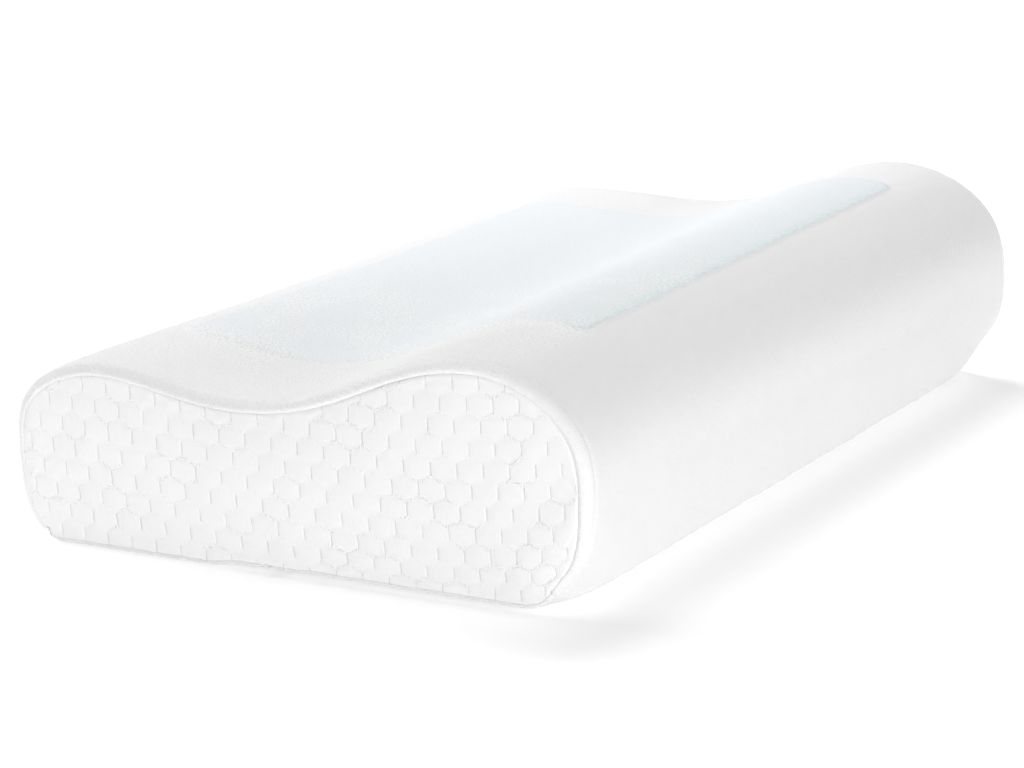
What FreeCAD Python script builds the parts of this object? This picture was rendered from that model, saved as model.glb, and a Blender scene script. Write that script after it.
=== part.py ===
import FreeCAD, Part
import os

from FreeCAD import Vector

os.makedirs("parts", exist_ok=True)

# A contour bed pillow, lying on its underside. Millimetres.
# X runs along the pillow, -Y is the front with the high lobe, +Y the back with the low lobe,
# Z is up. The origin is under the middle of the pillow, on the surface that it lies on.

# The dressed pillow
LENGTH = 500.0
HIGH_LOBE = 114.0
LOW_LOBE = 86.0
VALLEY = 82.0
# The dressed cross-section in (y, z), from the front of the underside over the top to the back
OUTLINE = [
    (-127.0, 0.0),
    (-144.5, 9.5),
    (-154.5, 45.0),
    (-149.5, 84.0),
    (-127.0, 106.0),
    (-88.0, HIGH_LOBE),
    (-50.0, 104.5),
    (-8.5, 88.0),
    (35.0, VALLEY),
    (83.0, LOW_LOBE),
    (133.0, 80.5),
    (152.0, 63.5),
    (154.5, 37.0),
    (145.0, 6.5),
    (130.0, 0.0),
]
OUTLINE_STEPS = 64  # points that a moved copy of the outline is drawn through

# Cover
COVER = 1.8  # thickness of the knit
EDGE_RADIUS = 5.5  # the wrap turns over the end edge with this radius
SEAM_INSET = 6.0  # the end seam lies this far in from the outline
FRONT_SEAM_Y = -137.0  # lower front seam between the wrap and the underside
REAR_SEAM_Y = 138.5
ALLOWANCE = 1.5  # thickness of an overlocked seam allowance
END_ALLOWANCE_REACH = 9.5  # how far an end allowance runs in under the wrap
BASE_ALLOWANCE_WIDTH = 6.0
ALLOWANCE_GAP = 1.0  # between the end allowances and what runs along X

# Gel pad, glued into a shallow recess in the top of the foam
GEL_THICKNESS = 4.0
GEL_PROUD = 1.2  # it lifts the cover by this much
GEL_LENGTH = 361.0
GEL_SHIFT = 7.5  # along X from the middle
GEL_FRONT_Y = -112.0
GEL_REAR_Y = 107.0
GEL_CORNER = 7.0
GEL_LIFT_MARGIN = 2.0  # the cover comes down to the foam this far outside the pad

# Zip across the underside, in a shallow arch that keeps it off the bed
ZIP_Y = 10.0
ARCH_RISE = 2.2
ARCH_FOOT = 38.0  # half widths of the arch at its foot and along its flat top
ARCH_TOP = 17.0
PANEL_EDGE = 4.7  # the underside panels stop this far from the zip's middle line
TAPE_WIDTH = 15.0
TAPE_THICKNESS = 0.6
TAPE_GAP = 0.6  # from the middle line to a tape's edge
COIL_WIDTH = 2.4
COIL_HEIGHT = 1.8
CHAIN_END = 232.0  # the chain runs this far each way from the middle
STOP_LENGTH = 3.5
STOP_WALL = 0.3
TOP_STOP_WIDTH = 2.7
BOTTOM_STOP_WIDTH = 6.6
THREAD = 0.4
STITCH_LINE = 2.2  # from a panel's folded edge to its row of stitches

# Slider, parked at the closed end (+X)
SLIDER_FRONT = 230.0
SLIDER_LENGTH = 9.5
SLIDER_WIDTH = 8.4
PLATE = 0.8
RUNNING_GAP = 0.3
FLANGE = 0.8
FIN_LENGTH = 2.2
FIN_HALF = 0.3
FIN_SETBACK = 1.0
BAIL_LENGTH = 6.0
BAIL_WIDTH = 1.6
BAIL_WALL = 0.8
BAIL_HEIGHT = 2.2

# Pull tab, hinged on the slider's bail
EYE_BAR_RADIUS = 0.45
PULL_LENGTH = 23.0
PULL_WIDTH = 5.2
PULL_TIP_WIDTH = 6.4
PULL_THICKNESS = 0.9
PULL_ARM = 1.3
PULL_EYE = 5.0
PULL_HOLE_RADIUS = 1.1
PULL_HOLE_INSET = 4.0

# Foam, which yields over the zip
CHANNEL_CLEARANCE = 0.4
CHANNEL_FOOT = 9.0
CHANNEL_TOP = 5.6

# Heights of the zip's layers
PANEL_INNER_Z = ARCH_RISE + COVER
TAPE_TOP_Z = PANEL_INNER_Z + TAPE_THICKNESS
COIL_TOP_Z = TAPE_TOP_Z + COIL_HEIGHT
OUTER_PLATE_TOP_Z = PANEL_INNER_Z - RUNNING_GAP
OUTER_PLATE_Z = OUTER_PLATE_TOP_Z - PLATE
INNER_PLATE_Z = COIL_TOP_Z + RUNNING_GAP
INNER_PLATE_TOP_Z = INNER_PLATE_Z + PLATE

END_X = LENGTH / 2
SLIDER_MIDDLE = SLIDER_FRONT - SLIDER_LENGTH / 2
SLIDER_CORNER = SLIDER_WIDTH / 6
LOWER_EDGE = VALLEY / 4  # the lower seams and the zip lie below this height
FAR = 400.0  # larger than the pillow, for cutting blocks
OVERRUN = 1.0  # cutting blocks pass a face by this much


def block(x0, x1, y0, y1, z0, z1):
    return Part.makeBox(x1 - x0, y1 - y0, z1 - z0, Vector(x0, y0, z0))


def low_block(half_length, y0, y1):
    """A block over the lower seams and the zip, this far each way along X."""
    return block(-half_length, half_length, y0, y1, -OVERRUN, LOWER_EDGE)


def edges_along(shape, axis):
    """The straight edges parallel to "x", "y" or "z"."""
    return [e for e in shape.Edges if abs(getattr(e.tangentAt(e.FirstParameter), axis)) > 0.99]


def pieces_where(shape, test):
    kept = [s for s in shape.Solids if test(s.CenterOfMass)]
    if len(kept) == 1:
        return kept[0]
    return Part.makeCompound(kept)


def mirrored_in_zip(shape):
    return shape.mirror(Vector(0, ZIP_Y, 0), Vector(0, 1, 0))


def spline(points):
    """A smooth curve that leaves the underside and comes back to it level."""
    curve = Part.BSplineCurve()
    level = Vector(0, -1, 0)
    curve.interpolate(Points=points, InitialTangent=level, FinalTangent=level, Scale=False)
    return curve


OUTER = spline([Vector(0, y, z) for y, z in OUTLINE])


def outline(inset):
    """The outline's curve, moved inwards by inset."""
    points = []
    span = OUTER.LastParameter - OUTER.FirstParameter
    for i in range(OUTLINE_STEPS + 1):
        at = OUTER.FirstParameter + span * i / OUTLINE_STEPS
        along = OUTER.tangent(at)[0]
        points.append(OUTER.value(at) + Vector(0, along.z, -along.y) * inset)
    return spline(points)


def step(y0, z0, y1, z1):
    """A level line, or an S-bend between two levels."""
    if z0 == z1:
        return Part.LineSegment(Vector(0, y0, z0), Vector(0, y1, z1)).toShape()
    bend = Part.BezierCurve()
    middle = (y0 + y1) / 2
    bend.setPoles([Vector(0, y0, z0), Vector(0, middle, z0), Vector(0, middle, z1), Vector(0, y1, z1)])
    return bend.toShape()


def section(inset, levels):
    """A closed face across the pillow. levels are the underside's (half width, height) from outside in."""
    top = outline(inset)
    low = OUTLINE[0][1] + inset
    right = [(ZIP_Y + half, z + low) for half, z in levels]
    left = [(ZIP_Y - half, z + low) for half, z in reversed(levels)]
    floor = [(OUTLINE[-1][0], low)] + right + left + [(OUTLINE[0][0], low)]
    edges = [top.toShape()]
    for (y0, z0), (y1, z1) in zip(floor, floor[1:]):
        edges.append(step(y0, z0, y1, z1))
    return Part.Face(Part.Wire(Part.__sortEdges__(edges)))


ARCH = [(ARCH_FOOT, 0.0), (ARCH_TOP, ARCH_RISE)]


def bar(inset, levels, half_length):
    """A straight length with this section, centred on X = 0."""
    solid = section(inset, levels).extrude(Vector(2 * half_length, 0, 0))
    solid.translate(Vector(-half_length, 0, 0))
    return solid


def rounded(solid, half_length, radius):
    """The same with its end edges rounded."""
    ends = [e for e in solid.Edges if abs(abs(e.CenterOfMass.x) - half_length) < 1e-3]
    return solid.makeFillet(radius, ends)


def body(inset, levels=ARCH):
    """The pillow's form, shrunk by inset all round."""
    half_length = END_X - inset
    return rounded(bar(inset, levels, half_length), half_length, EDGE_RADIUS - inset)


def gel_window(margin):
    """An upright block with rounded corners, over the pad's plan."""
    x0 = GEL_SHIFT - GEL_LENGTH / 2 - margin
    x1 = GEL_SHIFT + GEL_LENGTH / 2 + margin
    window = block(x0, x1, GEL_FRONT_Y - margin, GEL_REAR_Y + margin, VALLEY / 2, HIGH_LOBE * 2)
    return window.makeFillet(GEL_CORNER, edges_along(window, "z"))


def end_side(side, reach):
    """Everything within reach of one end."""
    if side < 0:
        return block(-FAR, -END_X + reach, -FAR, FAR, -FAR, FAR)
    return block(END_X - reach, FAR, -FAR, FAR, -FAR, FAR)


# Forms that the cover and its filling share
cover_outside = body(0.0)
cover_inside = body(COVER)
within_end_seam = bar(SEAM_INSET, ARCH, END_X + OVERRUN)
underside = low_block(FAR, FRONT_SEAM_Y, REAR_SEAM_Y)

gel_inset = COVER - GEL_PROUD
gel_level = bar(gel_inset, ARCH, END_X).common(gel_window(0.0))
gel_bed = bar(gel_inset + GEL_THICKNESS, ARCH, END_X)
gel_pad = gel_level.cut(gel_bed)

# Cover panels
lifted = bar(-GEL_PROUD, ARCH, END_X - SEAM_INSET).common(gel_window(GEL_LIFT_MARGIN))
cover = cover_outside.fuse(lifted).cut(cover_inside).cut(gel_level)
end_panels = cover.common(within_end_seam)
around = cover.cut(within_end_seam)
cover_top_wrap = around.cut(underside)
zip_opening = low_block(FAR, ZIP_Y - PANEL_EDGE, ZIP_Y + PANEL_EDGE)
base_panels = around.common(underside).cut(zip_opening)
end_panel_left = pieces_where(end_panels, lambda c: c.x < -END_X / 2)
end_panel_right = pieces_where(end_panels, lambda c: c.x > END_X / 2)
base_panel_front = pieces_where(base_panels, lambda c: c.y < ZIP_Y)
base_panel_rear = pieces_where(base_panels, lambda c: c.y > ZIP_Y)

# Overlocked seam allowances, folded in under the wrap
lining = cover_inside.cut(body(COVER + ALLOWANCE))
zip_gap = low_block(FAR, ZIP_Y - ARCH_TOP, ZIP_Y + ARCH_TOP)
end_allowances = {}
for side, hand in ((-1, "left"), (1, "right")):
    ring = lining.common(end_side(side, END_ALLOWANCE_REACH))
    end_allowances[hand] = ring.cut(within_end_seam).cut(zip_gap)

between_ends = END_X - END_ALLOWANCE_REACH - ALLOWANCE_GAP
front_strip = low_block(between_ends, FRONT_SEAM_Y - BASE_ALLOWANCE_WIDTH, FRONT_SEAM_Y)
rear_strip = low_block(between_ends, REAR_SEAM_Y, REAR_SEAM_Y + BASE_ALLOWANCE_WIDTH)
base_allowance_front = lining.common(front_strip)
base_allowance_rear = lining.common(rear_strip)

# Foam core
tape_clear = ARCH_RISE + TAPE_THICKNESS + CHANNEL_CLEARANCE
slider_clear = INNER_PLATE_TOP_Z + CHANNEL_CLEARANCE - COVER
CHANNEL = [
    (ARCH_FOOT, 0.0),
    (ARCH_TOP, tape_clear),
    (CHANNEL_FOOT, tape_clear),
    (CHANNEL_TOP, slider_clear),
]
foam_core = body(COVER, CHANNEL).cut(gel_level)
foam_core = foam_core.fuse(gel_bed.common(gel_window(0.0)).common(body(COVER, CHANNEL)))
for piece in (*end_allowances.values(), base_allowance_front, base_allowance_rear):
    foam_core = foam_core.cut(piece)

# Zip
tape = block(
    -END_X, END_X, ZIP_Y + TAPE_GAP, ZIP_Y + TAPE_GAP + TAPE_WIDTH, PANEL_INNER_Z, TAPE_TOP_Z
)
zipper_tape_rear = tape.common(cover_inside)
coil = block(
    -CHAIN_END, CHAIN_END, ZIP_Y + TAPE_GAP, ZIP_Y + TAPE_GAP + COIL_WIDTH, TAPE_TOP_Z, COIL_TOP_Z
)
zipper_coil_rear = coil.makeFillet(COIL_HEIGHT / 3, edges_along(coil, "x"))
top_stop = block(
    CHAIN_END,
    CHAIN_END + STOP_LENGTH,
    ZIP_Y + TAPE_GAP,
    ZIP_Y + TAPE_GAP + TOP_STOP_WIDTH,
    TAPE_TOP_Z,
    COIL_TOP_Z + STOP_WALL,
)
top_stop = top_stop.makeFillet(STOP_WALL, top_stop.Edges)
zipper_top_stops = Part.makeCompound([top_stop, mirrored_in_zip(top_stop)])
bottom_stop = block(
    -CHAIN_END - STOP_LENGTH,
    -CHAIN_END,
    ZIP_Y - BOTTOM_STOP_WIDTH / 2,
    ZIP_Y + BOTTOM_STOP_WIDTH / 2,
    TAPE_TOP_Z,
    COIL_TOP_Z + STOP_WALL,
)
zipper_bottom_stop = bottom_stop.makeFillet(STOP_WALL, bottom_stop.Edges)

stitch_y = ZIP_Y + PANEL_EDGE + STITCH_LINE
zip_stitching_rear = block(
    -between_ends, between_ends, stitch_y, stitch_y + THREAD, ARCH_RISE - THREAD, ARCH_RISE
)


def slider():
    back = SLIDER_FRONT - SLIDER_LENGTH
    half = SLIDER_WIDTH / 2
    plates = []
    for low in (OUTER_PLATE_Z, INNER_PLATE_Z):
        plate = block(back, SLIDER_FRONT, ZIP_Y - half, ZIP_Y + half, low, low + PLATE)
        plates.append(plate.makeFillet(SLIDER_CORNER, edges_along(plate, "z")))
    fin = block(
        SLIDER_FRONT - FIN_SETBACK - FIN_LENGTH,
        SLIDER_FRONT - FIN_SETBACK,
        ZIP_Y - FIN_HALF,
        ZIP_Y + FIN_HALF,
        OUTER_PLATE_Z,
        INNER_PLATE_TOP_Z,
    )
    flange = block(
        back + SLIDER_CORNER,
        SLIDER_FRONT - SLIDER_CORNER,
        ZIP_Y + half - FLANGE,
        ZIP_Y + half,
        TAPE_TOP_Z + RUNNING_GAP,
        INNER_PLATE_TOP_Z,
    )
    bail = block(
        SLIDER_MIDDLE - BAIL_LENGTH / 2,
        SLIDER_MIDDLE + BAIL_LENGTH / 2,
        ZIP_Y - BAIL_WIDTH / 2,
        ZIP_Y + BAIL_WIDTH / 2,
        OUTER_PLATE_Z - BAIL_HEIGHT,
        OUTER_PLATE_Z,
    )
    hanging = [e for e in edges_along(bail, "y") if e.CenterOfMass.z < OUTER_PLATE_Z - BAIL_HEIGHT / 2]
    bail = bail.makeFillet(BAIL_WALL, hanging)
    eye = block(
        SLIDER_MIDDLE - BAIL_LENGTH / 2 + BAIL_WALL,
        SLIDER_MIDDLE + BAIL_LENGTH / 2 - BAIL_WALL,
        ZIP_Y - BAIL_WIDTH,
        ZIP_Y + BAIL_WIDTH,
        OUTER_PLATE_Z - BAIL_HEIGHT + BAIL_WALL,
        OUTER_PLATE_Z,
    )
    whole = plates[0].fuse([plates[1], fin, flange, mirrored_in_zip(flange), bail.cut(eye)])
    return whole.removeSplitter()


def pull():
    """The tab lies along -X from its eye bar, which turns in the slider's bail."""
    pivot_z = OUTER_PLATE_Z - (BAIL_HEIGHT - BAIL_WALL) / 2
    low = pivot_z - PULL_THICKNESS / 2
    tip = SLIDER_MIDDLE - PULL_LENGTH
    corners = [
        Vector(SLIDER_MIDDLE, ZIP_Y - PULL_WIDTH / 2, low),
        Vector(tip, ZIP_Y - PULL_TIP_WIDTH / 2, low),
        Vector(tip, ZIP_Y + PULL_TIP_WIDTH / 2, low),
        Vector(SLIDER_MIDDLE, ZIP_Y + PULL_WIDTH / 2, low),
    ]
    tab = Part.Face(Part.makePolygon(corners + corners[:1])).extrude(Vector(0, 0, PULL_THICKNESS))
    tip_edges = [e for e in edges_along(tab, "z") if e.CenterOfMass.x < tip + PULL_WIDTH]
    tab = tab.makeFillet(PULL_TIP_WIDTH / 3, tip_edges)
    eye = block(
        SLIDER_MIDDLE - PULL_EYE,
        SLIDER_MIDDLE + OVERRUN,
        ZIP_Y - PULL_WIDTH / 2 + PULL_ARM,
        ZIP_Y + PULL_WIDTH / 2 - PULL_ARM,
        low - OVERRUN,
        low + PULL_THICKNESS + OVERRUN,
    )
    eye_bar = Part.makeCylinder(
        EYE_BAR_RADIUS, PULL_WIDTH, Vector(SLIDER_MIDDLE, ZIP_Y - PULL_WIDTH / 2, pivot_z), Vector(0, 1, 0)
    )
    hole = Part.makeCylinder(
        PULL_HOLE_RADIUS,
        PULL_THICKNESS + 2 * OVERRUN,
        Vector(tip + PULL_HOLE_INSET, ZIP_Y, low - OVERRUN),
        Vector(0, 0, 1),
    )
    return tab.cut(eye).cut(hole).fuse(eye_bar).removeSplitter()


nodes = {
    "foam_core": foam_core,
    "gel_pad": gel_pad,
    "cover_top_wrap": cover_top_wrap,
    "end_panel_left": end_panel_left,
    "end_panel_right": end_panel_right,
    "base_panel_front": base_panel_front,
    "base_panel_rear": base_panel_rear,
    "end_seam_allowance_left": end_allowances["left"],
    "end_seam_allowance_right": end_allowances["right"],
    "base_seam_allowance_front": base_allowance_front,
    "base_seam_allowance_rear": base_allowance_rear,
    "zipper_tape_front": mirrored_in_zip(zipper_tape_rear),
    "zipper_tape_rear": zipper_tape_rear,
    "zipper_coil_front": mirrored_in_zip(zipper_coil_rear),
    "zipper_coil_rear": zipper_coil_rear,
    "zipper_top_stops": zipper_top_stops,
    "zipper_bottom_stop": zipper_bottom_stop,
    "zip_stitching_front": mirrored_in_zip(zip_stitching_rear),
    "zip_stitching_rear": zip_stitching_rear,
    "zipper_slider": slider(),
    "zipper_pull": pull(),
}

for name, shape in nodes.items():
    box = shape.BoundBox
    print(
        f"{name}: valid {shape.isValid()}, {len(shape.Solids)} solid, {shape.Volume:.0f} mm3, "
        f"x {box.XMin:.1f}..{box.XMax:.1f}, y {box.YMin:.1f}..{box.YMax:.1f}, z {box.ZMin:.2f}..{box.ZMax:.2f}"
    )
    shape.exportStep(f"parts/{name}.step")
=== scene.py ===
"""A contour bed pillow: a knit cover over foam and a gel pad, with a zip across the underside."""

import math

import bpy
import numpy as np
from mathutils import Matrix, Vector


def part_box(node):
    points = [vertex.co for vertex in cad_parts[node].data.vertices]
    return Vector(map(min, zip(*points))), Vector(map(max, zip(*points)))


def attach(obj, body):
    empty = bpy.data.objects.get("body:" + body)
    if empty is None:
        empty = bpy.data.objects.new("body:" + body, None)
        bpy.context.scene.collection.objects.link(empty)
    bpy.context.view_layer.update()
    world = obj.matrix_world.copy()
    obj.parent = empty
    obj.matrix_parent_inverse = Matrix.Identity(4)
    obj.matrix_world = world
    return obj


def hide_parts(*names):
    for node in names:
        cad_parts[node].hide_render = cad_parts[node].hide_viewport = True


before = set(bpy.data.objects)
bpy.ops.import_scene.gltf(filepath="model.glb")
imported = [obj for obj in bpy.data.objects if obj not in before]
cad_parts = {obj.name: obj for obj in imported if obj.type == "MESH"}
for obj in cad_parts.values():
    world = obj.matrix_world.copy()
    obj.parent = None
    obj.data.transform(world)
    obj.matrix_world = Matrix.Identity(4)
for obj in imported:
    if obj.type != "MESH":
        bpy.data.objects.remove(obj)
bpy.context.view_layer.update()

MM = 0.001

# ---- sizes from the frame
GEL_LOW, GEL_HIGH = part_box("gel_pad")
PANEL_LOW, PANEL_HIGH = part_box("end_panel_left")
END_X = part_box("cover_top_wrap")[1].x
COVER = PANEL_HIGH.x - PANEL_LOW.x
SEAM_INSET = PANEL_LOW.z
FRONT_SEAM_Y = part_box("base_panel_front")[0].y
REAR_SEAM_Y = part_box("base_panel_rear")[1].y
PANEL_FOLD_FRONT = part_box("base_panel_front")[1].y
PANEL_FOLD_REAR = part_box("base_panel_rear")[0].y
ZIP_Y = (PANEL_FOLD_FRONT + PANEL_FOLD_REAR) / 2
TAPE_LOW, TAPE_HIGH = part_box("zipper_tape_rear")
COIL_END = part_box("zipper_coil_rear")[1].x
ARCH_RISE = TAPE_LOW.z - COVER

# The cross-section in (y, z), from the front of the underside over the top to the back
OUTLINE = MM * np.array([
    (-127.0, 0.0), (-144.5, 9.5), (-154.5, 45.0), (-149.5, 84.0), (-127.0, 106.0),
    (-88.0, 114.0), (-50.0, 104.5), (-8.5, 88.0), (35.0, 82.0), (83.0, 86.0),
    (133.0, 80.5), (152.0, 63.5), (154.5, 37.0), (145.0, 6.5), (130.0, 0.0),
])
ARCH_FOOT = 38 * MM
ARCH_TOP = 17 * MM

# Cover details
CLOTH_STEP = 4.2 * MM  # the spacing of a sheet's points
INNER_SHARE = 0.75  # how much of a seam's depth shows on the inner face of the cloth
PUCKER = 0.10 * MM
STITCH_SINK = 0.35 * MM  # how deep the stitched lines beside the zip lie
STITCH_WIDTH = 0.9 * MM
SEAM_TUCK = 0.45 * MM  # how deep the end seams draw the fabric in
SEAM_TUCK_WIDTH = 0.75 * MM
LOW_INSET = 2.4 * MM  # the end seams run closer to the edge along the underside
CROWN = 6.0 * MM  # the most that an end may bow out
SWELL = 0.8 * MM  # the most that the wrap may lift between its seams
BASE_TUCK = 1.4 * MM  # and the seams along the lower edges
BASE_TUCK_WIDTH = 1.1 * MM
ROLL_WIDTH = 8.5 * MM  # the soft roll over the end seam's allowance
ROLL_HEIGHT = 0.35 * MM
ROLL_GROOVE = 0.75 * MM
GEL_LIFT = 1.2 * MM
GEL_THICKNESS = 4 * MM
GEL_CORNER = 7 * MM
ALLOWANCE = 1.5 * MM  # the thickness of the sewn edges inside
ALLOWANCE_WIDTH = 7 * MM

# The honeycomb of the end knit
END_ROWS = 165  # the points up an end
CELL_PITCH = 13.7 * MM
CELL_ROWS = 10.05 * MM
SLIT = 6.8 * MM  # the open upright side of a cell
SLIT_AT = np.array([1.2, 33.6]) * MM  # one slit's middle, in (y, z)
CELL_PUFF = 0.24 * MM
SLIT_DEPTH = 0.22 * MM
KNIT_LEAN = 0.075  # the cells lean back a little towards their tops
KNIT_MIDDLE = 50 * MM
KNIT_STRETCH = 1.036, 1.9  # at the middle of an end, and how it falls off
KNIT_CLIMB = 0.025, 0.010  # of the rows to the back, and more of it to the front


# ---- the cross-section
def smooth(edge0, edge1, value):
    """0 below edge0, 1 above edge1, and an S-bend between."""
    t = np.clip((value - edge0) / (edge1 - edge0), 0, 1)
    return t * t * (3 - 2 * t)


def ramp(edge0, edge1, value):
    """smooth(), with its edges in millimetres."""
    return smooth(edge0 * MM, edge1 * MM, value)


def hump(up0, up1, down0, down1, value):
    """0 up to up0, 1 from up1 to down0, and 0 again from down1."""
    return smooth(up0, up1, value) * (1 - smooth(down0, down1, value))


def bell(value, width):
    return np.exp(-((value / width) ** 2))


def run(line):
    """The distance along a line to each of its points."""
    return np.concatenate([[0], np.cumsum(np.linalg.norm(np.diff(line, axis=0), axis=1))])


def unit(vectors):
    return vectors / np.linalg.norm(vectors, axis=1)[:, None]


def sampled(at, places, line):
    """A line's points at these places along it."""
    return np.column_stack([np.interp(at, places, column) for column in line.T])


def clamped_spline(points, slope, samples=2400):
    """A cubic spline by chord length, with the same slope at both ends, as a dense line."""
    t = run(points)
    h = np.diff(t)
    matrix = np.eye(len(t))
    right = np.zeros_like(points)
    right[0] = right[-1] = slope
    for i in range(1, len(t) - 1):
        matrix[i, i - 1:i + 2] = h[i], 2 * (h[i - 1] + h[i]), h[i - 1]
        before = (points[i] - points[i - 1]) / h[i - 1]
        after = (points[i + 1] - points[i]) / h[i]
        right[i] = 3 * (h[i] * before + h[i - 1] * after)
    slopes = np.linalg.solve(matrix, right)
    at = np.linspace(0, t[-1], samples)
    i = np.clip(np.searchsorted(t, at, "right") - 1, 0, len(h) - 1)
    w = ((at - t[i]) / h[i])[:, None]
    hi = h[i][:, None]
    return (
        (2 * w**3 - 3 * w**2 + 1) * points[i]
        + (w**3 - 2 * w**2 + w) * hi * slopes[i]
        + (3 * w**2 - 2 * w**3) * points[i + 1]
        + (w**3 - w**2) * hi * slopes[i + 1]
    )


class Section:
    """The pillow's closed cross-section, by arc length from the front end of its flat underside."""

    def __init__(self):
        top = clamped_spline(OUTLINE, np.array([-1.0, 0.0]))
        y = np.linspace(OUTLINE[-1, 0], OUTLINE[0, 0], 900)[1:]
        rise = ARCH_RISE * (1 - smooth(ARCH_TOP, ARCH_FOOT, np.abs(y - ZIP_Y)))
        self.line = np.vstack([top, np.column_stack([y, rise])])
        self.arc = run(self.line)
        self.length = self.arc[-1]
        self.top_end = self.arc[len(top) - 1]
        along = unit(np.gradient(self.line, self.arc, axis=0))
        self.out = np.column_stack([-along[:, 1], along[:, 0]])

    def at(self, arc):
        """Point and outward normal, in (y, z)."""
        arc = np.mod(arc, self.length)
        return sampled(arc, self.arc, self.line), unit(sampled(arc, self.arc, self.out))

    def where(self, y, lower, upper):
        """The arc length between lower and upper where the section passes this y."""
        found = (self.arc >= lower) & (self.arc <= upper)
        return float(self.arc[found][np.argmin(np.abs(self.line[found, 0] - y))])


SECTION = Section()
SIDE_ARC = 30 * MM
FRONT_SEAM = SECTION.where(FRONT_SEAM_Y, 0, SIDE_ARC)
REAR_SEAM = SECTION.where(REAR_SEAM_Y, SECTION.top_end - SIDE_ARC, SECTION.top_end)
CREST = SECTION.where(OUTLINE[5, 0], 0.1, 0.3)
GEL_FRONT_ARC = SECTION.where(GEL_LOW.y, 0.1, 0.4)
GEL_REAR_ARC = SECTION.where(GEL_HIGH.y, 0.3, 0.6)
# the gel pad's outline on the cloth, in (along, round)
GEL_MIDDLE = np.array([GEL_HIGH.x + GEL_LOW.x, GEL_REAR_ARC + GEL_FRONT_ARC]) / 2
GEL_HALF = np.array([GEL_HIGH.x - GEL_LOW.x, GEL_REAR_ARC - GEL_FRONT_ARC]) / 2
UNDERSIDE = (SECTION.top_end, SECTION.length)
FOLD_REAR = SECTION.where(PANEL_FOLD_REAR, *UNDERSIDE)
FOLD_FRONT = SECTION.where(PANEL_FOLD_FRONT, *UNDERSIDE)
ZIP_ARC = (FOLD_REAR + FOLD_FRONT) / 2
STITCH_FRONT = SECTION.where(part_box("zip_stitching_front")[0].y, *UNDERSIDE)
STITCH_REAR = SECTION.where(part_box("zip_stitching_rear")[1].y, *UNDERSIDE)
CLOTH_LENGTH = 2 * (END_X - SEAM_INSET) + math.pi * SEAM_INSET


def seam_inset(arcs):
    """How far in from the outline the end seams lie."""
    arcs = np.mod(arcs, SECTION.length)
    ease = 24 * MM
    before = 1 - smooth(0, ease, arcs)
    after = smooth(SECTION.top_end - ease, SECTION.top_end, arcs)
    return SEAM_INSET + (LOW_INSET - SEAM_INSET) * np.maximum(before, after)


# ---- the form that all soft pieces share
def settle(points):
    """How the filled cover differs from a straight prism. It moves every soft piece alike."""
    x, y, z = points[:, 0], points[:, 1], points[:, 2]
    moved = points.copy()
    # the low lobe stands a little higher at the left end than along the rest
    low_lobe = ramp(40, 110, y) * ramp(20, 75, z)
    stations = MM * np.array([-250, -190, -110, 0, 120, 250])
    lean = np.interp(x, stations, MM * np.array([3.6, 2.6, 0.0, -2.6, -3.6, -4.6]))
    moved[:, 2] += low_lobe * lean
    # the lower corners along the front are drawn in, more so at the right end
    from_end = END_X - np.abs(x)
    low = 1 - ramp(2, 44, z)
    near_front = 1 - ramp(0, 36, y - OUTLINE[:, 0].min())
    near_end = 1 - ramp(0, 46, from_end)
    corner = low * near_end * near_front
    right = smooth(-END_X, END_X, x)
    moved[:, 0] -= np.sign(x) * (4 + 4 * right) * MM * corner
    moved[:, 1] += 4.0 * MM * corner
    moved[:, 2] += (6.0 + 2.0 * right) * MM * corner
    # the front part of the underside lifts slightly towards the ends
    edge = (1 - ramp(0, 30, from_end)) * (1 - ramp(2, 25, z))
    moved[:, 2] += 2.6 * MM * edge * (1 - ramp(-30, 2, y))
    return moved


def settle_grid(grid):
    return settle(grid.reshape(-1, 3)).reshape(grid.shape)


# ---- mesh helpers
def spaced(low, high, step, *fine):
    """Positions from low to high, closer together round the fine spots."""
    near = MM * np.array([0.0, 0.35, 0.75, 1.2, 1.7, 2.3, 3.0, 3.9, 5.0])
    line = [np.linspace(low, high, int(math.ceil((high - low) / step)) + 1)]
    for spot in fine:
        line += [spot - near, spot + near]
    line = np.unique(np.clip(np.concatenate(line), low, high))
    keep = np.concatenate([[True], np.diff(line) > 0.22 * MM])
    keep[-1] = True
    return line[keep]


def ripple(u, v, size, seed, waves=7):
    """Smooth random waves of about this size, mostly between -1 and 1."""
    random = np.random.default_rng(seed)
    total = 0.0
    for _ in range(waves):
        heading, phase = random.uniform(0, 2 * math.pi, 2)
        pitch = size * random.uniform(0.7, 1.6)
        total = total + np.sin(2 * math.pi * (u * math.cos(heading) + v * math.sin(heading)) / pitch + phase)
    return total / math.sqrt(waves)


def placed(name, data):
    """A new object in the scene."""
    holder = bpy.data.objects.new(name, data)
    bpy.context.scene.collection.objects.link(holder)
    return holder


def new_mesh(name, points, faces, uv=None):
    mesh = bpy.data.meshes.new(name)
    mesh.from_pydata([tuple(p) for p in points], [], [tuple(f) for f in faces])
    if uv is not None:
        layer = mesh.uv_layers.new(name="weave")
        index = np.zeros(len(mesh.loops), np.int32)
        mesh.loops.foreach_get("vertex_index", index)
        layer.data.foreach_set("uv", uv[index].astype(np.float32).ravel())
    mesh.validate()
    mesh.update()
    mesh.shade_smooth()
    return placed(name, mesh)


def grid_faces(rows, columns, offset=0, flip=False, wrap_rows=False):
    i, j = np.meshgrid(np.arange(rows if wrap_rows else rows - 1), np.arange(columns - 1), indexing="ij")
    a = (i * columns + j).ravel() + offset
    b = (((i + 1) % rows) * columns + j).ravel() + offset
    quads = np.column_stack([a, a + 1, b + 1, b])
    return quads[:, ::-1] if flip else quads


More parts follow.
